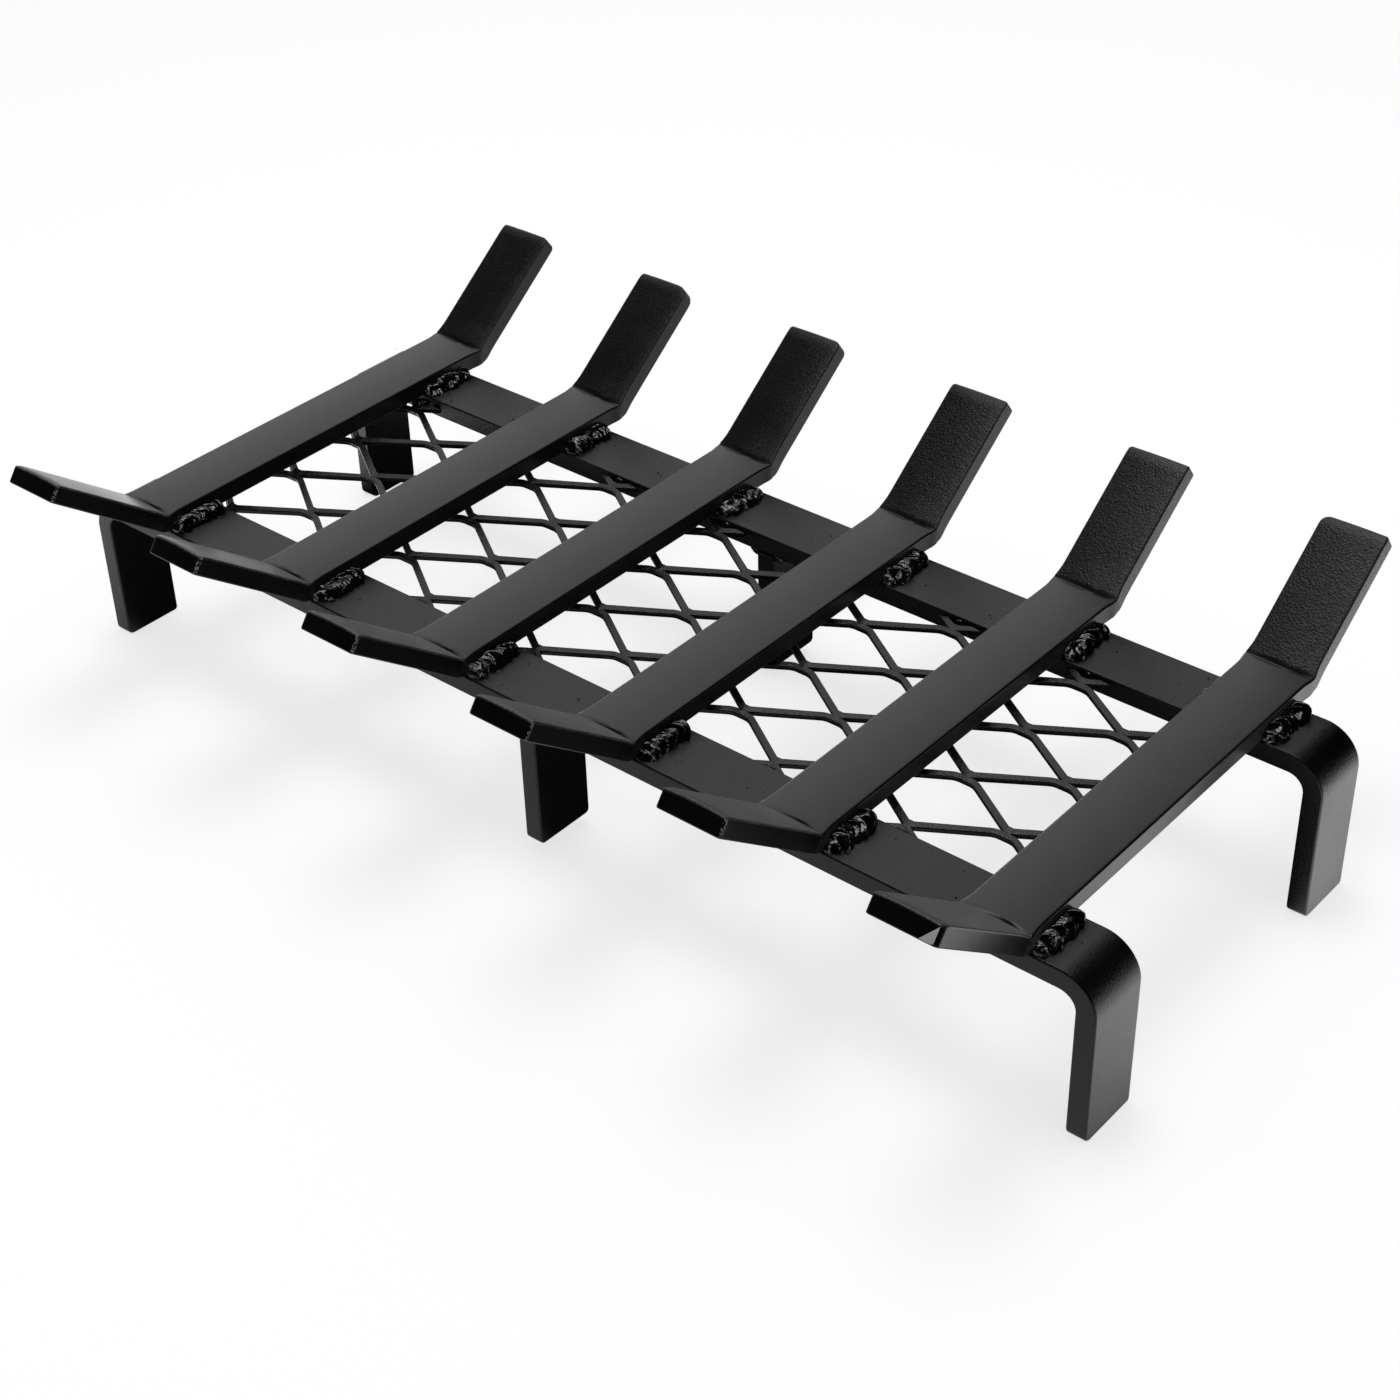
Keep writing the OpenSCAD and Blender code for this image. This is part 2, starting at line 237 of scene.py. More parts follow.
def makeBarDust():
    # dust and painted light lie on the level part, most on its left side, and on the rear end's
    # right edge, crease and tip. A painted gleam, drawn as bare metal, is on the level part's left
    # edge and thinly on the front end.
    bench, given, result = newGroup(
        "bar dust", {"Place": None, "Vector": None}, ("DustAndLight", "Grain", "PaintedGleam")
    )
    dustAndLight = dustSettings
    axes = bench.add("ShaderNodeSeparateXYZ", Vector=given["Place"]).outputs
    across, along = axes["X"], axes["Y"]
    onTop = bench.span(axes["Z"], *dustAndLight["top"])
    rear = bench.span(along, *dustAndLight["rearEnd"])
    front = bench.span(along, *dustAndLight["frontEnd"])
    fromMiddle = bench.add("ShaderNodeSeparateXYZ", Vector=given["Vector"]).outputs["X"]
    rightBars = bench.span(fromMiddle, *dustAndLight["rightBars"])
    grain = bench.speckle(given["Vector"], **dustAndLight["grain"])
    cloud = bench.speckle(given["Vector"], **dustAndLight["cloud"])
    specks = bench.plus(
        bench.times(grain, dustAndLight["grainShare"]), bench.times(cloud, dustAndLight["cloudShare"])
    )
    specks = bench.span(specks, *dustAndLight["specks"])

    # the rear end's dust and painted light: a lighter right edge, a slant towards the right, crease
    # and tip
    edge = bench.times(bench.span(across, *dustAndLight["rightEdge"]), dustAndLight["edgeShare"])
    paintedLightSlant = bench.times(bench.span(across, *dustAndLight["paintedLightSlant"]), dustAndLight["slantShare"])
    crease = bench.times(
        bench.span(along, *dustAndLight["creaseAlong"]), bench.span(across, *dustAndLight["creaseAcross"])
    )
    tip = bench.times(bench.span(along, *dustAndLight["tipAlong"]), bench.span(across, *dustAndLight["tipAcross"]))
    leftBars = bench.span(rightBars, *dustAndLight["leftBars"])
    onRear = bench.plus(edge, bench.plus(paintedLightSlant, bench.plus(crease, leftBars)))
    onRear = bench.times(bench.plus(onRear, tip), bench.times(specks, rightBars))
    # the level part lighter towards its left side: dust and painted light
    onLevel = bench.times(bench.span(across, *dustAndLight["level"]), onTop)
    onLevel = bench.times(onLevel, bench.reckon("SUBTRACT", 1.0, bench.plus(rear, front), True))
    bench.join(bench.plus(onLevel, bench.times(rear, onRear)), result["DustAndLight"])

    # a painted highlight on the level part's left edge and a painted reflection on the front end,
    # drawn as bare metal
    wornEdge = bench.times(
        bench.span(across, *dustAndLight["wornAcross"]), bench.span(along, *dustAndLight["wornAlong"])
    )
    wornEdge = bench.times(wornEdge, bench.span(along, *dustAndLight["wornFlat"]))
    onFront = bench.times(
        bench.span(fromMiddle, *dustAndLight["frontFromMiddle"]), bench.span(cloud, *dustAndLight["frontCloud"])
    )
    paintedGleam = bench.times(bench.plus(wornEdge, bench.times(front, onFront)), onTop)
    bench.join(paintedGleam, result["PaintedGleam"])

    rearGrain = bench.times(rear, bench.span(rightBars, *dustAndLight["rearGrain"]))
    bench.join(bench.plus(rearGrain, dustAndLight["grainElsewhere"]), result["Grain"])
    return bench.tree


orangePeel = makeOrangePeel()
edgeRub = makeEdgeRub()
barDust = makeBarDust()

paint = {
    "driftSpan": (0.35, 0.65), "speck": (0.03, 0.03, 0.031),
    # bare: the colour of bare metal, also used for the painted gleam
    "bare": (0.4, 0.4, 0.4), "chips": {"Scale": 1100.0, "Detail": 1.0},
    "wornChips": (0.4, 0.62, 0.25, 1.0), "cornerChips": (0.48, 0.6),
    # flecks: the beads' painted highlights, in specks
    "flecks": {"Scale": 700.0, "Detail": 2.0}, "fleckSpan": (0.47, 0.62),
    "rubbedRoughness": 0.08, "sheenRoughness": 0.3,
}


def paintedSteel(name, look):
    # black paint on steel, with its own dimples, drift and rubbed edges. A look with a dust colour
    # has the log bars' dust and painted light, bare corners and painted gleam too, and one with a
    # fleck colour has the beads' painted highlights.
    material = bpy.data.materials.new(name)
    material.use_nodes = True
    material.node_tree.nodes.clear()
    bench = NodeBench(material.node_tree)
    place = bench.add("ShaderNodeTexCoord").outputs["Object"]
    peel = bench.add(
        "ShaderNodeGroup", {"node_tree": orangePeel},
        Vector=place, Dimple=look["dimple"], Grain=look["grain"],
    ).outputs
    rubbed = bench.add(
        "ShaderNodeGroup", {"node_tree": edgeRub},
        Vector=place, Amount=look["rub"], Edge=bench.mark("easedEdge"),
    ).outputs["Mask"]
    drift = bench.span(peel["Drift"], *paint["driftSpan"])
    colour = bench.blend(drift, (*look["dark"], 1), (*look["light"], 1))
    specks = bench.times(peel["Specks"], look["specks"])
    colour = bench.blend(specks, colour, (*paint["speck"], 1))
    height = peel["Height"]
    if "dustAndLight" in look:
        dustAndLight = bench.add(
            "ShaderNodeGroup", {"node_tree": barDust},
            Vector=place, Place=bench.mark("onBar", "Vector"),
        ).outputs
        # one colour for dust and painted light
        colour = bench.blend(dustAndLight["DustAndLight"], colour, (*look["dustAndLight"], 1))
        height = bench.times(height, dustAndLight["Grain"])
        chips = bench.speckle(place, **paint["chips"])
        # the painted gleam, drawn as bare metal in chips
        paintedGleam = bench.times(dustAndLight["PaintedGleam"], bench.span(chips, *paint["wornChips"]))
        corner = bench.times(bench.mark("bareCorner"), bench.span(chips, *paint["cornerChips"]))
    colour = bench.blend(rubbed, colour, (*look["rubbed"], 1))
    if "paintedSparkle" in look:
        # painted highlights on the beads' ridges, as pale flecks
        flecks = bench.span(bench.speckle(place, **paint["flecks"]), *paint["fleckSpan"])
        ridges = bench.times(bench.mark("paintedSparkleMask"), flecks, True)
        colour = bench.blend(ridges, colour, (*look["paintedSparkle"], 1))
    if "dustAndLight" in look:
        # bare metal for the worn corners and for the painted gleam
        colour = bench.blend(bench.plus(paintedGleam, corner, True), colour, (*paint["bare"], 1))
    uneven = bench.times(bench.reckon("SUBTRACT", drift, 0.5), look["uneven"])
    rough = bench.plus(look["roughness"], uneven)
    rough = bench.plus(rough, bench.times(rubbed, paint["rubbedRoughness"]), True)
    bump = bench.add("ShaderNodeBump", Height=height, Strength=look["bump"], Distance=look["depth"])
    shader = bench.add(
        "ShaderNodeBsdfPrincipled", Base_Color=colour, Roughness=rough,
        Normal=bump.outputs["Normal"], IOR=look["ior"],
        Sheen_Weight=look["sheen"], Sheen_Roughness=paint["sheenRoughness"],
    )
    bench.add("ShaderNodeOutputMaterial", Surface=shader.outputs[0])
    return material


barLook = {
    "dark": (0.0022, 0.0022, 0.0023), "light": (0.0045, 0.0045, 0.0047),
    # dust: one colour for the bars' dust and painted light
    "rubbed": (0.02, 0.02, 0.021), "dustAndLight": (0.05, 0.05, 0.051),
    "dimple": 820.0, "grain": 0.35, "specks": 0.05, "rub": 0.35,
    "roughness": 0.3, "uneven": 0.05, "bump": 0.42, "depth": 0.0005, "ior": 1.55, "sheen": 0.6,
}
railLook = dict(barLook, roughness=0.34, rub=0.4, sheen=0.0)
del railLook["dustAndLight"]
meshLook = dict(
    railLook, dark=(0.003, 0.003, 0.0031), light=(0.008, 0.008, 0.0083), rubbed=(0.03, 0.03, 0.031),
    dimple=900.0, specks=0.25, rub=0.6, roughness=0.24, bump=0.5,
)
weldLook = dict(
    # fleck: the colour of the beads' painted highlights
    railLook, light=(0.006, 0.006, 0.0062), paintedSparkle=(0.6, 0.6, 0.6),
    dimple=330.0, grain=0.3, specks=0.3, roughness=0.1, uneven=0.06,
    bump=0.35, depth=0.001, ior=1.8,
)
groundLook = dict(
    railLook, dark=(0.6, 0.6, 0.61), light=(0.92, 0.92, 0.93), rubbed=(0.9, 0.9, 0.9),
    dimple=300.0, grain=1.2, bump=0.6,
)
barPaint = paintedSteel("satin black on the log bars", barLook)
railPaint = paintedSteel("satin black on the rails", railLook)
groundSteel = paintedSteel("ground spot on a bar's end", groundLook)
meshPaint = paintedSteel("black on the sheared mesh", meshLook)
weldPaint = paintedSteel("glossy black on the weld beads", weldLook)
print("log grate: paints mixed")


# how flat stock is drawn, bent and cut
drawing = {
    "merge": 1e-6, "fineMerge": 1e-7,
    "farWeight": 10,             # a face's place against its direction, in the choice of an end
    "cornerSegments": 5, "sharpAngle": 40,
    "bareFacing": (0.7, 0.27),   # which strips of a rounded corner are bare, by their normal's x
    "shadeAngle": 35,
}


def cornersOf(found):
    return [part for part in found if isinstance(part, bmesh.types.BMVert)]


def everything(bm):
    return bm.verts[:] + bm.edges[:] + bm.faces[:]


def cutAlong(bm, geom, point, way, clearOuter=False):
    return bmesh.ops.bisect_plane(
        bm, geom=geom, dist=drawing["fineMerge"], plane_co=point, plane_no=way,
        clear_outer=clearOuter,
    )["geom_cut"]


def ringAmong(corners):
    # the edges that join these corners to each other
    known = set(corners)
    return list({e for v in known for e in v.link_edges if e.other_vert(v) in known})


def drawRing(bm, ring, move):
    grown = bmesh.ops.extrude_edge_only(bm, edges=ring)
    corners = cornersOf(grown["geom"])
    bmesh.ops.translate(bm, verts=corners, vec=move)
    return ringAmong(corners)


def bendRing(bm, ring, centre, angle, steps):
    corners = list({v for e in ring for v in e.verts})
    spun = bmesh.ops.spin(
        bm, geom=corners + ring, cent=centre, axis=(1, 0, 0), dvec=(0, 0, 0),
        angle=angle, steps=steps, use_duplicate=False,
    )
    return ringAmong(cornersOf(spun["geom_last"]))


def halfStrip(bm, stock, run, turn, end, steps):
    # from the middle of a strip along +Y, round one bend upward and on to its end
    half, thick, radius = stock["width"] / 2, stock["thickness"], stock["bendRadius"]
    outline = ((-half, 0, -thick), (half, 0, -thick), (half, 0, 0), (-half, 0, 0))
    corners = [bm.verts.new(point) for point in outline]
    ring = [bm.edges.new((corners[k], corners[(k + 1) % 4])) for k in range(4)]
    ring = drawRing(bm, ring, (0, run, 0))
    if turn:
        ring = bendRing(bm, ring, (0, run, radius), turn, steps)
    ring = drawRing(bm, ring, (0, end * math.cos(turn), end * math.sin(turn)))
    bmesh.ops.edgeloop_fill(bm, edges=ring)


def mirrorStrip(bm):
    merge = drawing["merge"]
    bmesh.ops.mirror(
        bm, geom=everything(bm), matrix=Matrix.Identity(4), merge_dist=merge, axis="Y"
    )
    bmesh.ops.remove_doubles(bm, verts=bm.verts, dist=merge)
    bmesh.ops.recalc_face_normals(bm, faces=bm.faces)


def bevelEdges(bm, edges, offset, segments):
    return bmesh.ops.bevel(
        bm, geom=edges, offset=offset, offset_type="OFFSET", segments=segments, profile=0.5,
        affect="EDGES", material=-1, clamp_overlap=False,
    )["faces"]


def roundCorners(bm, way, left, right, bare=False):
    # the two corners of the end face that looks along way, in plan, with radii in mm. The
    # right one has its paint worn off where bare is set.
    def farness(face):
        return face.normal.dot(way) + face.calc_center_median().dot(way) * drawing["farWeight"]

    for side, radius in ((-1, left), (1, right)):
        end = max(bm.faces, key=farness)
        upright = [
            e for e in end.edges if abs(e.verts[0].co.x - e.verts[1].co.x) < drawing["merge"]
        ]
        upright.sort(key=lambda e: e.verts[0].co.x * side)
        rounded = bevelEdges(bm, upright[-1:], radius * mm, drawing["cornerSegments"])
        bmesh.ops.recalc_face_normals(bm, faces=bm.faces)
        if side == 1 and bare:
            layer = bm.faces.layers.float["bareCorner"]
            facing, reach = drawing["bareFacing"]
            for face in rounded:
                if abs(face.normal.x - facing) < reach:
                    face[layer] = 1.0


def easeOutline(bm, piece):
    layer = bm.faces.layers.float.new("easedEdge")
    limit = math.radians(drawing["sharpAngle"])
    sharp = [e for e in bm.edges if e.is_manifold and e.calc_face_angle() > limit]
    for face in bevelEdges(bm, sharp, piece["edge"], piece["edgeSegments"]):
        face[layer] = 1.0


def finishPiece(name, bm, material, nodes, smoothAngle=None):
    mesh = bpy.data.meshes.new(name)
    bm.to_mesh(mesh)
    bm.free()
    mesh.shade_smooth()
    mesh.materials.append(material)
    piece = bpy.data.objects.new(name, mesh)
    scene.collection.objects.link(piece)
    if smoothAngle:
        mesh.set_sharp_from_angle(angle=math.radians(smoothAngle))
        weighted = piece.modifiers.new("even shading", "WEIGHTED_NORMAL")
        weighted.keep_sharp = True
    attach(piece, "root")
    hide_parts(*nodes)
    return piece


def clamped(value):
    return min(1.0, max(0.0, value))


def smooth(value, low, high):
    part = clamped((value - low) / (high - low))
    return part * part * (3 - 2 * part)


barNumbers = range(1, 7)   # from the left
logBar = {
    "width": 38.1 * mm, "thickness": 11.5 * mm, "bendRadius": 1.0 * mm,
    "level": 255.5 * mm, "upturn": 85.5 * mm, "slope": 37.25, "bendSteps": 8,
    "edge": 1.1 * mm, "edgeSegments": 3,
    "corners": [   # rounded tip corners: front left, front right, rear left, rear right, in mm
        (2, 2, 2, 4), (4, 2.5, 2.5, 8), (2, 2, 2, 5),
        (2, 1.5, 2, 2), (1.5, 2, 2, 1.5), (2, 3, 5, 2),
    ],
    "groundBar": 6, "groundReach": 10 * mm,   # which bar has a ground spot, and how wide it is
    "endFacing": 0.95,   # how squarely a face of the sheared end looks along the bar
}
press = {   # what the press leaves on a log bar
    "crown": 0.6 * mm, "crownOnFlange": 0.75 * mm,   # how far a face's long edges fall away
    "markDepth": 1.5 * mm, "markReach": 1.5 * mm,    # the tool's mark in each crease
    "markDown": 2 * mm, "markShare": 0.9,            # how deep it goes, and its share of that reach
    "markLeft": (-0.93, 0.25), "markRight": (0.88, 0.5),
    "creaseHalf": 0.9 * mm,                          # where the faces lean by half of the bend
    "tipFall": 0.8 * mm, "tipReach": 7.0 * mm,       # how the last of a tip falls away
    "nose": 1.3 * mm, "noseReach": 5.0 * mm,         # the swelling at the ends of a crease
    "noseDown": 1.5, "nosePower": 6,                 # how fast it fades downward and inward
    "cutsAcross": (-0.92, -0.75, -0.5, -0.25, 0, 0.25, 0.5, 0.7, 0.88),
    "cutsFromCrease": (1.5 * mm, 3 * mm, 5 * mm, 8 * mm, 12 * mm),
    "cutsFromTip": (7 * mm, 5 * mm, 3.5 * mm, 2.2 * mm),
}


def pressBar(bm, slope):
    # crowned faces, a mark in each crease, the metal swollen out at both ends of it, and
    # tips that fall away to the sheared end
    half, thick, crease = logBar["width"] / 2, logBar["thickness"], logBar["level"] / 2
    upturn = logBar["upturn"]
    cuts = [((half * share, 0, 0), (1, 0, 0)) for share in press["cutsAcross"]]
    fromTip = tuple(upturn - away for away in press["cutsFromTip"])
    for side in (-1, 1):
        for away in press["cutsFromCrease"]:
            cuts.append(((0, side * (crease - away), 0), (0, 1, 0)))
        flange = Vector((0, side * math.cos(slope), math.sin(slope)))
        for away in press["cutsFromCrease"] + fromTip:
            cuts.append((Vector((0, side * crease, 0)) + flange * away, flange))
    for point, way in cuts:
        cutAlong(bm, everything(bm), point, way)
    for v in bm.verts:
        past, rise = abs(v.co.y) - crease, v.co.z
        side = math.copysign(1, v.co.y)
        lean, onFlange = 0.0, past * math.cos(slope / 2) + rise * math.sin(slope / 2) > 0
        if onFlange:
            past, rise = (
                past * math.cos(slope) + rise * math.sin(slope),
                rise * math.cos(slope) - past * math.sin(slope),
            )
            lean = slope
        if abs(past) < press["creaseHalf"]:
            lean = slope / 2
        depth = clamped(-rise / thick)
        across = v.co.x / half
        fall = press["crownOnFlange" if onFlange else "crown"] * across ** 2
        tip = (past - upturn + press["tipReach"]) / press["tipReach"]
        fall += press["tipFall"] * max(0.0, tip) ** 2
        if rise > -press["markDown"] and abs(past) < press["markReach"] * press["markShare"]:
            mark = smooth(across, *press["markLeft"]) * smooth(across, *press["markRight"])
            fall += press["markDepth"] * mark
        v.co -= Vector((0, -side * math.sin(lean), math.cos(lean))) * fall * (1 - depth)
        swell = math.exp(-(past / press["noseReach"]) ** 2) * (1 - press["noseDown"] * depth)
        swell *= min(1.0, abs(across)) ** press["nosePower"]
        v.co.x += math.copysign(press["nose"] * swell, v.co.x)


def markStrip(bm, slope):
    # each corner's place on the bar: across from -1 to 1, along from the middle in metres,
    # and down from the top face as a share of the thickness
    layer = bm.verts.layers.float_vector.new("onBar")
    half = logBar["width"] / 2
    crease = logBar["level"] / 2
    for v in bm.verts:
        reach, rise = abs(v.co.y), v.co.z
        past = reach - crease
        if past * math.cos(slope / 2) + rise * math.sin(slope / 2) > 0:
            rise = rise * math.cos(slope) - past * math.sin(slope)
        if past > 0:
            reach = crease + past / math.cos(slope)
        v[layer] = (v.co.x / half, math.copysign(reach, v.co.y), -rise / logBar["thickness"])


def grindCorner(bm, slope):
    # the spot at the lower right of the front end that was ground bright
    right, thick = logBar["width"] / 2, logBar["thickness"]
    end = Vector((0, -math.cos(slope), math.sin(slope)))
    down = Vector((0, -math.sin(slope), -math.cos(slope)))
    top = end * logBar["upturn"] + Vector((right, -logBar["level"] / 2, 0))
    way = Vector((thick, 0, 0)) + down * logBar["groundReach"]
    faces = [f for f in bm.faces if f.normal.dot(end) > logBar["endFacing"]]
    corners = {v for f in faces for v in f.verts}
    edges = {e for f in faces for e in f.edges}
    cutAlong(bm, list(corners) + list(edges) + faces, top, way)
    for f in bm.faces:
        onEnd = f.normal.dot(end) > logBar["endFacing"]
        if onEnd and (f.calc_center_median() - top).dot(way) > 0:
            f.material_index = 1


def makeLogBar(number):
    low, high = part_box(f"log_bar_{number}")
    slope = math.radians(logBar["slope"])
    setback = logBar["bendRadius"] * math.tan(slope / 2)
    run = logBar["level"] / 2 - setback
    ground = number == logBar["groundBar"]
    bm = bmesh.new()
    bm.faces.layers.float.new("bareCorner")
    halfStrip(bm, logBar, run, slope, logBar["upturn"] - setback, logBar["bendSteps"])
    mirrorStrip(bm)
    frontLeft, frontRight, rearLeft, rearRight = logBar["corners"][number - 1]
    frontward = Vector((0, -math.cos(slope), math.sin(slope)))
    rearward = Vector((0, math.cos(slope), math.sin(slope)))
    roundCorners(bm, frontward, frontLeft, frontRight, bare=not ground)
    roundCorners(bm, rearward, rearLeft, rearRight)
    easeOutline(bm, logBar)
    markStrip(bm, slope)
    pressBar(bm, slope)
    bm.normal_update()
    if ground:
        grindCorner(bm, slope)
    place = ((low.x + high.x) / 2, 0, low.z + logBar["thickness"])
    bmesh.ops.translate(bm, verts=bm.verts, vec=place)
    bar = finishPiece(
        f"LogBar{number}", bm, barPaint, [f"log_bar_{number}"], drawing["shadeAngle"]
    )
    if ground:
        bar.data.materials.append(groundSteel)


for number in barNumbers:
    makeLogBar(number)
print("log grate: six log bars bent")


rail = {
    "width": 38.1 * mm, "thickness": 11.5 * mm, "bendRadius": 9.5 * mm, "bendSteps": 20,
    "edge": 1.1 * mm, "edgeSegments": 3, "footCorners": (4, 2),   # back and front of a foot, in mm
    "bendThin": 1.3 * mm,   # how much the outside of the left bends is drawn in
}


def makeRail(name, node):
    low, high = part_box(node)
    thick, radius = rail["thickness"], rail["bendRadius"]
    bm = bmesh.new()
    run = (high.x - low.x) / 2 - thick - radius
    end = high.z - low.z - thick - radius
    halfStrip(bm, rail, run, math.pi / 2, end, rail["bendSteps"])
    bmesh.ops.recalc_face_normals(bm, faces=bm.faces)
    backCorner, frontCorner = rail["footCorners"]
    roundCorners(bm, Vector((0, 0, 1)), frontCorner, backCorner)
    mirrorStrip(bm)
    easeOutline(bm, rail)
    # the bend upward becomes a bend down to the floor, and the strip lies along X
    turn = Matrix.Rotation(-math.pi / 2, 4, "Z") @ Matrix.Rotation(math.pi, 4, "X")
    place = Matrix.Translation(((low.x + high.x) / 2, (low.y + high.y) / 2, high.z - thick))
    bmesh.ops.transform(bm, matrix=place @ turn, verts=bm.verts)
    # the left bend's outside is drawn in, most of all halfway round
    heart = Vector((low.x + thick + radius, 0, high.z - thick - radius))
    for v in bm.verts:
        away = Vector((v.co.x - heart.x, 0, v.co.z - heart.z))
        if away.x < 0 < away.z:
            outside = (away.length - radius) / thick
            halfway = -2 * away.x * away.z / away.length_squared
            v.co -= away.normalized() * rail["bendThin"] * outside * halfway
    finishPiece(name, bm, railPaint, [node], drawing["shadeAngle"])


makeRail("FrontRail", "front_rail")
makeRail("RearRail", "rear_rail")

middleLeg = {
    "width": 38.1 * mm, "thickness": 11.5 * mm, "bendRadius": 0.0,
    "edge": 1.1 * mm, "edgeSegments": 3, "corner": 3,
}


def makeMiddleLeg(name, node):
    low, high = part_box(node)
    half = 0.5 * (high.z - low.z)
    bm = bmesh.new()
    halfStrip(bm, middleLeg, half, 0.0, half, 1)
    bmesh.ops.edgeloop_fill(bm, edges=[e for e in bm.edges if e.is_boundary])
    bmesh.ops.recalc_face_normals(bm, faces=bm.faces)
    roundCorners(bm, Vector((0, 1, 0)), middleLeg["corner"], middleLeg["corner"])
    easeOutline(bm, middleLeg)
    # its length along Y turns down, its width lies along Y
    turn = Matrix(((0, 0, 1, 0), (-1, 0, 0, 0), (0, -1, 0, 0), (0, 0, 0, 1)))
    place = Matrix.Translation((high.x, (low.y + high.y) / 2, high.z))
    bmesh.ops.transform(bm, matrix=place @ turn, verts=bm.verts)
    finishPiece(name, bm, railPaint, [node], drawing["shadeAngle"])


makeMiddleLeg("FrontMiddleLeg", "front_middle_leg")
makeMiddleLeg("RearMiddleLeg", "rear_middle_leg")
print("log grate: rails and middle legs made")


emberMesh = {
    "edge": 0.75 * mm, "edgeSegments": 3, "flatAngle": 1, "shadeAngle": 60,
    "wave": 0.35 * mm, "waveScale": 24, "waveLayer": 3.7,    # its slight unevenness
    "drop": 2.4 * mm, "dropFrom": -0.15, "dropTo": -0.27,    # how far its left end hangs, and where
    "steps": 14,            # half repeats from bar 1's right edge to the middle of bar 6
    "bond": 5.5 * mm, "seamShare": 0.45,   # the added part starts inside the bonds at that edge
    "margin": 6 * mm,       # how far inside bar 1's left edge it ends
}


def meshSag(x):
    # the sheet hangs lower towards its left end
    return emberMesh["drop"] * smooth(x, emberMesh["dropFrom"], emberMesh["dropTo"])


def addLeftMargin(bm):
    # the sheet's last strands, which run on under the first bar: a copy one repeat to the left
    firstBar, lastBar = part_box("log_bar_1"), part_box("log_bar_6")
    edge = firstBar[1].x
    repeat = 2 * ((lastBar[0].x + lastBar[1].x) / 2 - edge) / emberMesh["steps"]
    corners = cornersOf(bmesh.ops.duplicate(bm, geom=everything(bm))["geom"])
    bmesh.ops.translate(bm, verts=corners, vec=(-repeat, 0, 0))
    seam = edge - emberMesh["bond"] * emberMesh["seamShare"]
    for place, way in ((seam, 1), (firstBar[0].x + emberMesh["margin"], -1)):
        known = set(v for v in corners if v.is_valid)
        geom = list(known)
        geom += [e for e in bm.edges if e.verts[0] in known]
        geom += [f for f in bm.faces if f.verts[0] in known]
        cut = cutAlong(bm, geom, (place, 0, 0), (way, 0, 0), clearOuter=True)
        corners = [v for v in corners if v.is_valid] + cornersOf(cut)
        rim = [part for part in cut if isinstance(part, bmesh.types.BMEdge)]
        bmesh.ops.holes_fill(bm, edges=rim)
    bmesh.ops.recalc_face_normals(bm, faces=bm.faces)


def makeEmberMesh():
    bm = bmesh.new()
    bm.from_mesh(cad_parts["ember_mesh"].data)
    bmesh.ops.remove_doubles(bm, verts=bm.verts, dist=drawing["merge"])
    bmesh.ops.dissolve_limit(
        bm, angle_limit=math.radians(emberMesh["flatAngle"]), verts=bm.verts, edges=bm.edges
    )
    addLeftMargin(bm)
    easeOutline(bm, emberMesh)
    scale = emberMesh["waveScale"]
    for v in bm.verts:
        wave = noise.noise(Vector((v.co.x * scale, v.co.y * scale, emberMesh["waveLayer"])))
        v.co.z += wave * emberMesh["wave"] - meshSag(v.co.x)
    finishPiece(
        "EmberMesh", bm, meshPaint, ["ember_mesh"], emberMesh["shadeAngle"]
    )


makeEmberMesh()
print("log grate: ember mesh eased")


weldBead = {
    "leg": 6.8 * mm, "toe": 10.0 * mm, "run": 36.0 * mm,
    "drops": 8, "ringsPerDrop": 9, "arcSteps": 16,
    "leftShare": 0.66,                        # the left beads are smaller
    "swell": (0.82, 1.08),                    # how the drops differ in size
    "ripple": 0.2, "lead": 3.4 * mm,          # the ripples' depth, how far their middle runs ahead
    "valley": 0.12, "roundness": 0.6,         # the shape of a ripple
    "tip": 0.35, "tipGrowth": 1.6,            # the bead's size at its ends, and how it grows
    "lump": 2.4 * mm, "lumpScale": 95,
    "wrinkle": 2.6 * mm, "foldScale": (120, 230, 120), "foldTop": 0.22,
    "shift": 50,                              # each bead takes its lumps from its own place
    "relief": 1.3, "reliefAtLegs": 0.45,      # both are less where the bead meets the steel
    # where painted highlights lie on the beads' ridges, fading towards the rear end
    "brightFold": 7, "brightLump": 0.6, "brightFrom": 0.4, "brightFade": 1.6,   # bright ridges
    "spatter": 2, "spatterSize": (0.3, 0.65), "spatterAway": (0.95, 2.2),
    "spatterAlong": 0.45, "spatterRise": 0.2,
}


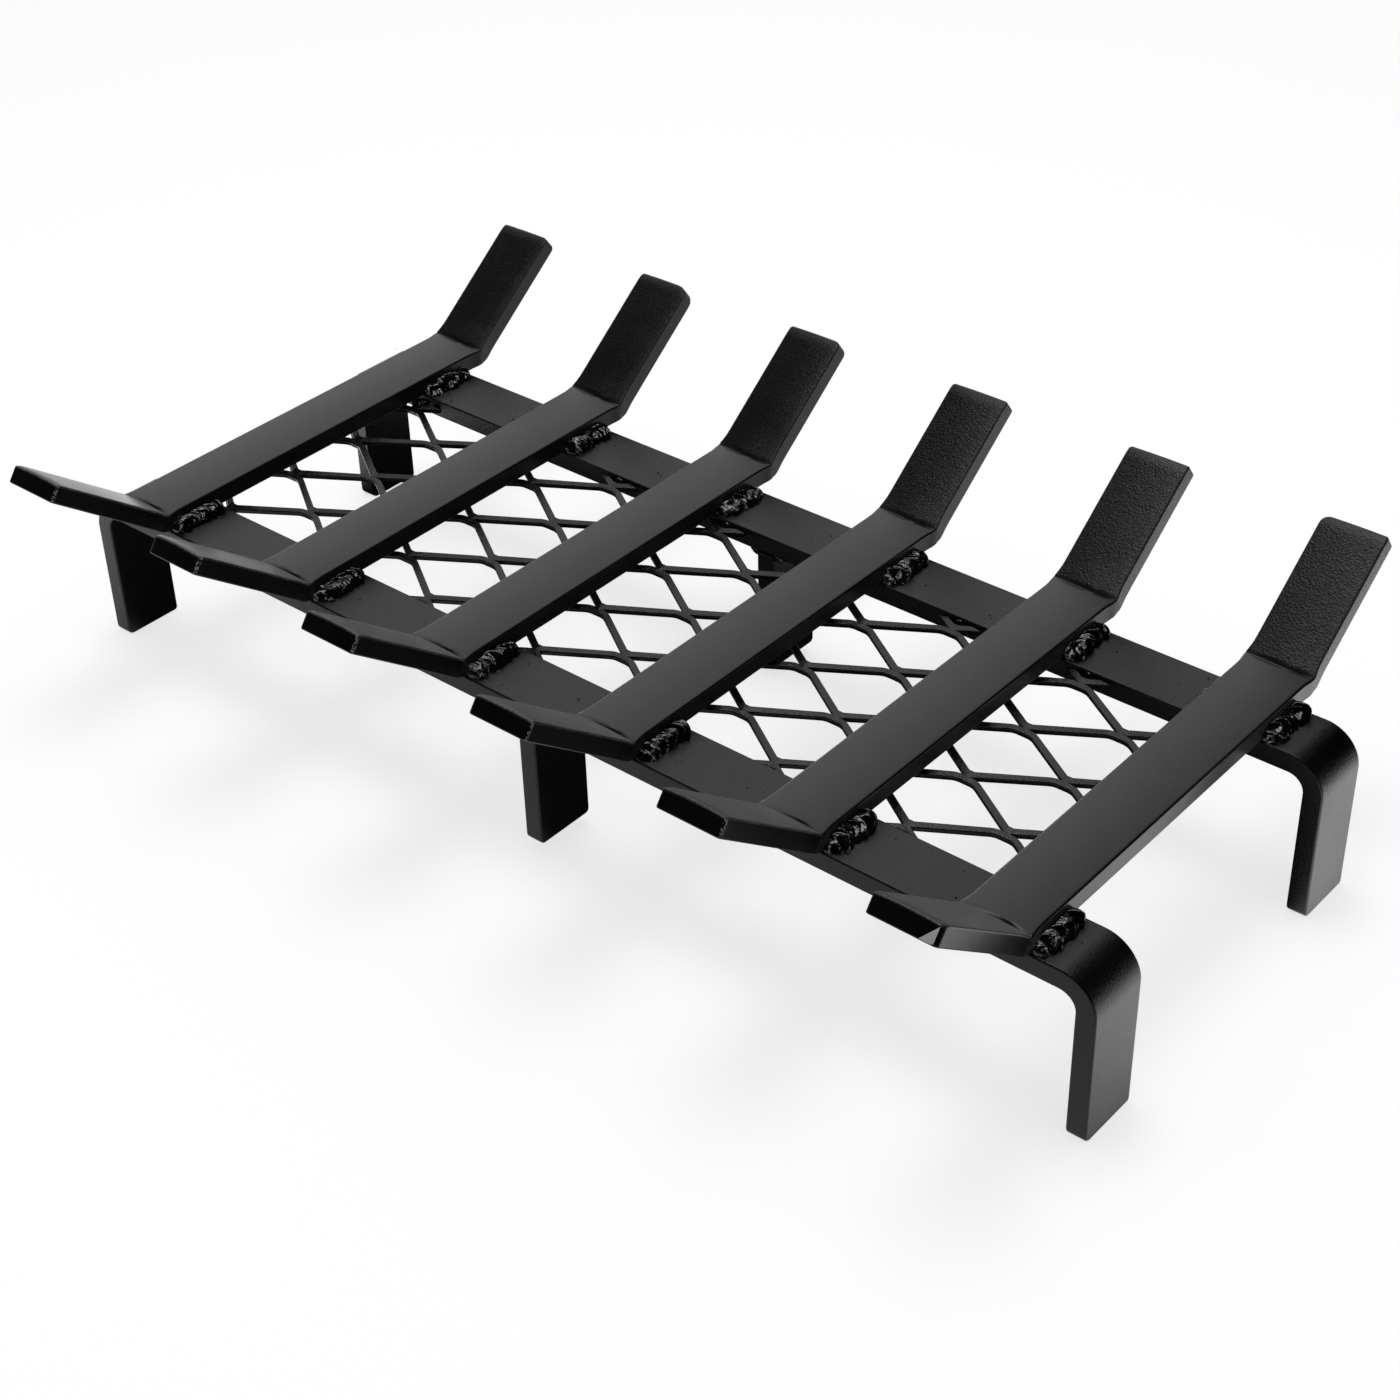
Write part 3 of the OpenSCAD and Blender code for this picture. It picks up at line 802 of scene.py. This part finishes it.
def drawBead(bm, seed, share):
    # a fillet along Y from its front end, each ring swollen by its drop
    chance = random.Random(seed)
    bright = bm.verts.layers.float.new("paintedSparkleMask")
    rings = weldBead["drops"] * weldBead["ringsPerDrop"]
    run, ripple, valley = weldBead["run"], weldBead["ripple"], weldBead["valley"]
    swell = [chance.uniform(*weldBead["swell"]) for _ in range(weldBead["drops"] + 1)]

    def radiusAt(step):
        part = step / rings * weldBead["drops"]
        drop = min(int(part), weldBead["drops"] - 1)
        inside = part - drop
        scallop = math.sin(math.pi * (valley + (1 - valley) * inside)) ** weldBead["roundness"]
        size = swell[drop] * (1 - inside) + swell[drop + 1] * inside
        fromEnd = math.sqrt(min(step, rings - step) / rings)
        tip = min(1.0, weldBead["tip"] + weldBead["tipGrowth"] * fromEnd)
        return weldBead["leg"] * share * size * tip * (1 - ripple + ripple * scallop)

    first = bm.verts.new((radiusAt(0), 0, 0))
    arc = bmesh.ops.spin(
        bm, geom=[first], cent=(0, 0, 0), axis=(0, 1, 0), dvec=(0, 0, 0),
        angle=-math.pi / 2, steps=weldBead["arcSteps"], use_duplicate=False,
    )
    mine = bm.verts[:]
    corner = bm.verts.new((0, 0, 0))
    bm.edges.new((corner, first))
    bm.edges.new((cornersOf(arc["geom_last"])[0], corner))
    ring = ringAmong(mine + [corner])
    bmesh.ops.edgeloop_fill(bm, edges=ring)
    for step in range(1, rings + 1):
        ring = drawRing(bm, ring, (0, run / rings, 0))
        corners = list({v for e in ring for v in e.verts})
        grow = radiusAt(step) / radiusAt(step - 1)
        bmesh.ops.scale(bm, vec=(grow, 1, grow), verts=corners)
        mine += corners
    bmesh.ops.edgeloop_fill(bm, edges=ring)
    bmesh.ops.scale(bm, vec=(weldBead["toe"] / weldBead["leg"], 1, 1), verts=bm.verts)

    reach, relief, atLegs = weldBead["shift"], weldBead["relief"], weldBead["reliefAtLegs"]
    shift = Vector([chance.uniform(-reach, reach) for _ in range(3)])
    for v in mine:
        radial = Vector((v.co.x, 0, v.co.z))
        if radial.length < drawing["merge"]:
            continue
        middle = math.sin(2 * math.atan2(v.co.z, v.co.x))
        lump = noise.noise(v.co * weldBead["lumpScale"] + shift)
        fold = Vector([place * scale for place, scale in zip(v.co, weldBead["foldScale"])])
        wrinkle = weldBead["foldTop"] - abs(noise.noise(fold + shift))
        ends = clamped(4 * min(v.co.y, run - v.co.y) / run)
        rise = lump * weldBead["lump"] + wrinkle * weldBead["wrinkle"]
        v.co += radial.normalized() * rise * share * (atLegs + (1 - atLegs) * middle) * relief
        # painted highlights on the folds and lumps, brighter towards the bead's front end
        ridge = weldBead["brightFold"] * wrinkle + weldBead["brightLump"] * lump
        fade = weldBead["brightFade"] * v.co.y / run
        v[bright] = clamped(ridge - weldBead["brightFrom"] - fade)
        v.co.y += weldBead["lead"] * middle * ends


def drawSpatter(bm, seed):
    # beads of metal thrown on the rail beside a weld
    chance = random.Random(seed)
    along = weldBead["spatterAlong"]
    for _ in range(weldBead["spatter"]):
        size = chance.uniform(*weldBead["spatterSize"]) * mm
        drop = bmesh.ops.create_icosphere(bm, subdivisions=1, radius=size)["verts"]
        place = (
            weldBead["toe"] * chance.uniform(*weldBead["spatterAway"]),
            weldBead["run"] * (0.5 + chance.uniform(-along, along)),
            weldBead["spatterRise"] * size,
        )
        bmesh.ops.translate(bm, verts=drop, vec=place)


def makeWeld(name, node, width, upward):
    low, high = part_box(node)
    middle = (low + high) / 2
    seat = low.z if upward else high.z
    bm = bmesh.new()
    for side in (-1, 1):
        one = bmesh.new()
        seed = f"{node} {side}"
        drawBead(one, seed, weldBead["leftShare"] if side < 0 and upward else 1.0)
        if upward:
            drawSpatter(one, seed)
        flip = Matrix.Diagonal((side, 1, 1 if upward else -1, 1))
        start = (middle.x + side * width / 2, middle.y - weldBead["run"] / 2, seat)
        bmesh.ops.transform(one, matrix=Matrix.Translation(start) @ flip, verts=one.verts)
        part = bpy.data.meshes.new("bead")
        one.to_mesh(part)
        one.free()
        bm.from_mesh(part)
        bpy.data.meshes.remove(part)
    bmesh.ops.remove_doubles(bm, verts=bm.verts, dist=drawing["fineMerge"])
    bmesh.ops.recalc_face_normals(bm, faces=bm.faces)
    finishPiece(name, bm, weldPaint, [node])


for number in barNumbers:
    makeWeld(f"WeldFrontBar{number}", f"weld_front_bar_{number}", logBar["width"], True)
    makeWeld(f"WeldRearBar{number}", f"weld_rear_bar_{number}", logBar["width"], True)
makeWeld("WeldFrontMiddleLeg", "weld_front_middle_leg", middleLeg["thickness"], False)
makeWeld("WeldRearMiddleLeg", "weld_rear_middle_leg", middleLeg["thickness"], False)
print("log grate: weld beads laid")


tackWeld = {
    "radius": 4.0 * mm, "height": 2.6 * mm, "count": 8,
    "wide": (0.85, 1.0), "tall": (0.8, 0.95),        # shares of that radius
    "lump": 0.5 * mm, "lumpScale": 320, "shift": 40,
}


def makeTacks(name, node, toward):
    low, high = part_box(node)
    face = high.y if toward > 0 else low.y
    radius, reach = tackWeld["radius"], tackWeld["shift"]
    step = (high.x - low.x - 2 * radius) / (tackWeld["count"] - 1)
    chance = random.Random(node)
    bm = bmesh.new()
    for k in range(tackWeld["count"]):
        blob = bmesh.ops.create_icosphere(bm, subdivisions=3, radius=radius)["verts"]
        shift = Vector([chance.uniform(-reach, reach) for _ in range(3)])
        wide, tall = chance.uniform(*tackWeld["wide"]), chance.uniform(*tackWeld["tall"])
        bmesh.ops.scale(bm, vec=(wide, tackWeld["height"] / radius, tall), verts=blob)
        for v in blob:
            lump = noise.noise(v.co * tackWeld["lumpScale"] + shift)
            v.co += v.co.normalized() * lump * tackWeld["lump"]
        centre = Vector((low.x + radius + k * step, face, (low.z + high.z) / 2))
        centre.z -= meshSag(centre.x)
        bmesh.ops.translate(bm, verts=blob, vec=centre)
    cutAlong(bm, everything(bm), (0, face, 0), (0, toward, 0), clearOuter=True)
    bmesh.ops.holes_fill(bm, edges=[e for e in bm.edges if e.is_boundary])
    bmesh.ops.recalc_face_normals(bm, faces=bm.faces)
    finishPiece(name, bm, weldPaint, [node])


makeTacks("FrontTacks", "mesh_tacks_front", -1)
makeTacks("RearTacks", "mesh_tacks_rear", 1)
print("log grate: tack welds set")


# the floor, the white studio round it and its lamp
studio = {
    "floorSize": 30.0, "floorLevel": -0.0002, "floorColour": (0.8, 0.8, 0.8),
    "floorGlow": 0.70,            # added where the camera looks at the floor
    "ambient": 0.3,               # the soft light from all sides
    "mirrored": 0.42,             # brightness of the floor in reflections
    "mirroredFar": (0.45, 1.1), "mirroredEnd": 0.03,   # where that fades out, and to what
    # a painted shadow: the floor's dark part under the grate, seen only in reflections
    "underGrate": ((-0.362, 0.345), (-0.122, 0.2)),    # its dark part, in x and y
    "underBlur": 0.015, "underBlurRear": 0.045, "underShare": 0.04,   # its edges, and what is left
    "poolEdge": 0.45,             # from which share of its reach a pool fades
    "wallWay": (-0.66, 0.56, 0.50), "wallSpan": (0.72, 0.97),   # a pale wall, in reflections
}

pools = [   # painted pools of light on that floor, seen only in reflections: x, y, reach in x and y, brightness
    (0.47, 0.07, 0.20, 0.30, 1.05),
    (-0.56, 0.08, 0.24, 0.30, 1.4),
    (-0.50, -0.30, 0.30, 0.24, 0.4),
    (0.48, 0.36, 0.40, 0.22, 0.6),
    (-0.98, 0.50, 0.50, 0.60, 0.9),
]


def makeFloor():
    bm = bmesh.new()
    bmesh.ops.create_grid(bm, x_segments=2, y_segments=2, size=studio["floorSize"] / 2)
    mesh = bpy.data.meshes.new("floor")
    bm.to_mesh(mesh)
    bm.free()
    floor = bpy.data.objects.new("floor", mesh)
    floor.location.z = studio["floorLevel"]
    scene.collection.objects.link(floor)
    material = bpy.data.materials.new("pale studio floor")
    material.use_nodes = True
    material.node_tree.nodes.clear()
    bench = NodeBench(material.node_tree)
    seen = bench.add("ShaderNodeLightPath").outputs
    place = bench.add("ShaderNodeTexCoord").outputs["Object"]

    def distance(x, y, reachX=1.0, reachY=1.0):
        mapped = bench.add(
            "ShaderNodeMapping", Vector=place,
            Location=(-x / reachX, -y / reachY, 0), Scale=(1 / reachX, 1 / reachY, 1),
        )
        length = bench.add("ShaderNodeVectorMath", {"operation": "LENGTH"})
        bench.join(mapped.outputs[0], length.inputs[0])
        return length.outputs["Value"]

    # the floor's painted light and shade, seen only in reflections: a glow fading with distance,
    # painted pools of light and a painted shadow under the grate
    mirror = bench.span(
        distance(0, 0), *studio["mirroredFar"], studio["mirrored"], studio["mirroredEnd"]
    )
    for x, y, reachX, reachY, brightness in pools:
        pool = bench.span(distance(x, y, reachX, reachY), studio["poolEdge"], 1.0, brightness, 0.0)
        mirror = bench.plus(mirror, pool)
    (left, right), (front, rear) = studio["underGrate"]
    blur, blurRear = studio["underBlur"], studio["underBlurRear"]
    axes = bench.add("ShaderNodeSeparateXYZ", Vector=place).outputs
    # the painted shadow under the grate
    under = bench.span(axes["X"], left - blur, left + blur)
    under = bench.times(under, bench.span(axes["X"], right + blur, right - blur))
    under = bench.times(under, bench.span(axes["Y"], front - blur, front + blur))
    under = bench.times(under, bench.span(axes["Y"], rear + blurRear, rear - blurRear))
    mirror = bench.times(mirror, bench.span(under, 0, 1, 1.0, studio["underShare"]))

    pale = bench.add("ShaderNodeBsdfDiffuse", Color=(*studio["floorColour"], 1))
    glow = bench.times(seen["Is Camera Ray"], studio["floorGlow"])
    glow = bench.add("ShaderNodeEmission", Strength=glow)
    plain = bench.add("ShaderNodeAddShader")
    bench.join(pale.outputs[0], plain.inputs[0])
    bench.join(glow.outputs[0], plain.inputs[1])
    mirrored = bench.add("ShaderNodeEmission", Strength=mirror)
    glossy = bench.reckon("MAXIMUM", seen["Is Glossy Ray"], seen["Is Transmission Ray"])
    chosen = bench.add("ShaderNodeMixShader", Fac=glossy)
    bench.join(plain.outputs[0], chosen.inputs[1])
    bench.join(mirrored.outputs[0], chosen.inputs[2])
    bench.add("ShaderNodeOutputMaterial", Surface=chosen.outputs[0])
    material.cycles.emission_sampling = "NONE"
    mesh.materials.append(material)


def makeWorld():
    world = bpy.data.worlds.new("white studio")
    scene.world = world
    world.use_nodes = True
    world.cycles.sampling_method = "NONE"
    world.node_tree.nodes.clear()
    bench = NodeBench(world.node_tree)
    seen = bench.add("ShaderNodeLightPath").outputs
    way = bench.add("ShaderNodeTexCoord").outputs["Generated"]
    toWall = bench.add("ShaderNodeVectorMath", {"operation": "DOT_PRODUCT"})
    bench.join(way, toWall.inputs[0])
    bench.join(Vector(studio["wallWay"]).normalized(), toWall.inputs[1])
    wall = bench.span(toWall.outputs["Value"], *studio["wallSpan"])
    glossy = bench.reckon("MAXIMUM", seen["Is Glossy Ray"], seen["Is Transmission Ray"])
    strength = bench.plus(seen["Is Camera Ray"], bench.times(glossy, wall))
    counted = bench.plus(seen["Is Camera Ray"], glossy, True)
    others = bench.reckon("SUBTRACT", 1.0, counted, True)
    strength = bench.plus(strength, bench.times(others, studio["ambient"]))
    light = bench.add("ShaderNodeBackground", Strength=strength)
    bench.add("ShaderNodeOutputWorld", Surface=light.outputs[0])


softbox = {
    "way": (-0.10, 0.07, 0.99), "distance": 2.0, "from": (0, 0, 0.1),   # where it hangs
    "width": 0.9, "height": 0.9, "radiance": 2.9,
}


def makeSoftbox():
    data = bpy.data.lights.new("overhead softbox", "AREA")
    data.shape = "RECTANGLE"
    data.size, data.size_y = softbox["width"], softbox["height"]
    data.energy = softbox["radiance"] * math.pi * softbox["width"] * softbox["height"]
    lamp = bpy.data.objects.new("overhead softbox", data)
    away = Vector(softbox["way"]).normalized()
    lamp.location = away * softbox["distance"] + Vector(softbox["from"])
    lamp.rotation_mode = "QUATERNION"
    lamp.rotation_quaternion = away.to_track_quat("Z", "Y")
    scene.collection.objects.link(lamp)


makeFloor()
makeWorld()
makeSoftbox()
scene.view_settings.view_transform = "Standard"
print("log grate: floor, world and lamps set")
